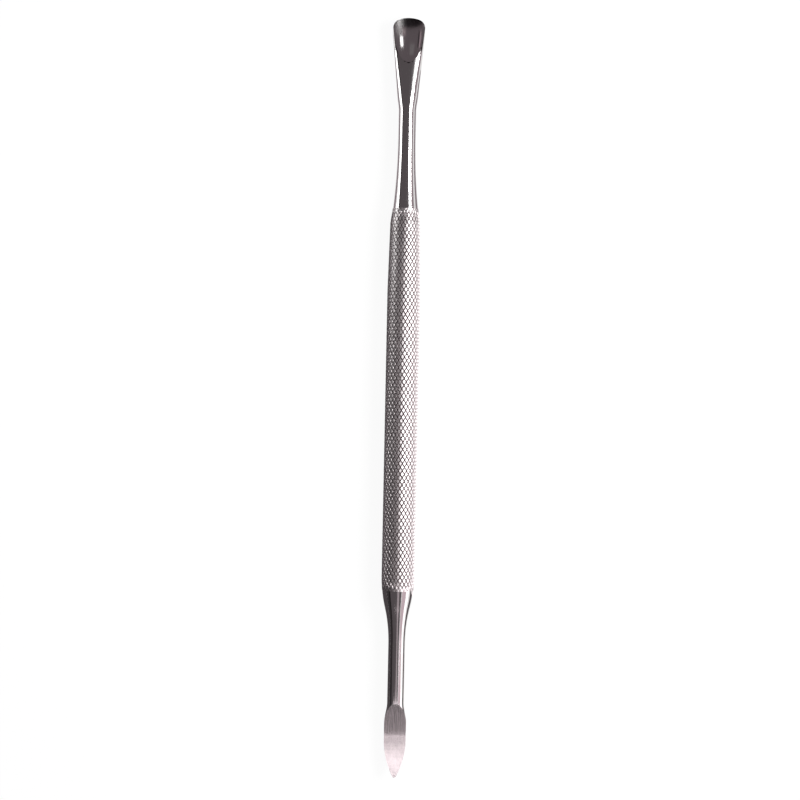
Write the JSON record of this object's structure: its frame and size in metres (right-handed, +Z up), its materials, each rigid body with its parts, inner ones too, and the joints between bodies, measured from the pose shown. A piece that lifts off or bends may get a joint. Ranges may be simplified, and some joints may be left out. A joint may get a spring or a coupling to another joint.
{
  "type": "periosteal elevator",
  "caption": "Double-ended steel hand instrument with a knurled round grip, a broad dished spoon at one end and a narrow pointed leaf at the other.",
  "frame": {"origin": "centre of the instrument's length and width, on the surface that it lies on", "axes": "+X along the instrument towards the spoon, +Z up, out of the two working faces"},
  "size_m": [0.17, 0.0074, 0.0074],
  "materials": {
    "stainless_steel": "polished shanks and spoon, satin knurl, fine ground leaf"
  },
  "bodies": {
    "root": {"periosteal_elevator": "stainless_steel"}
  },
  "joints": []
}
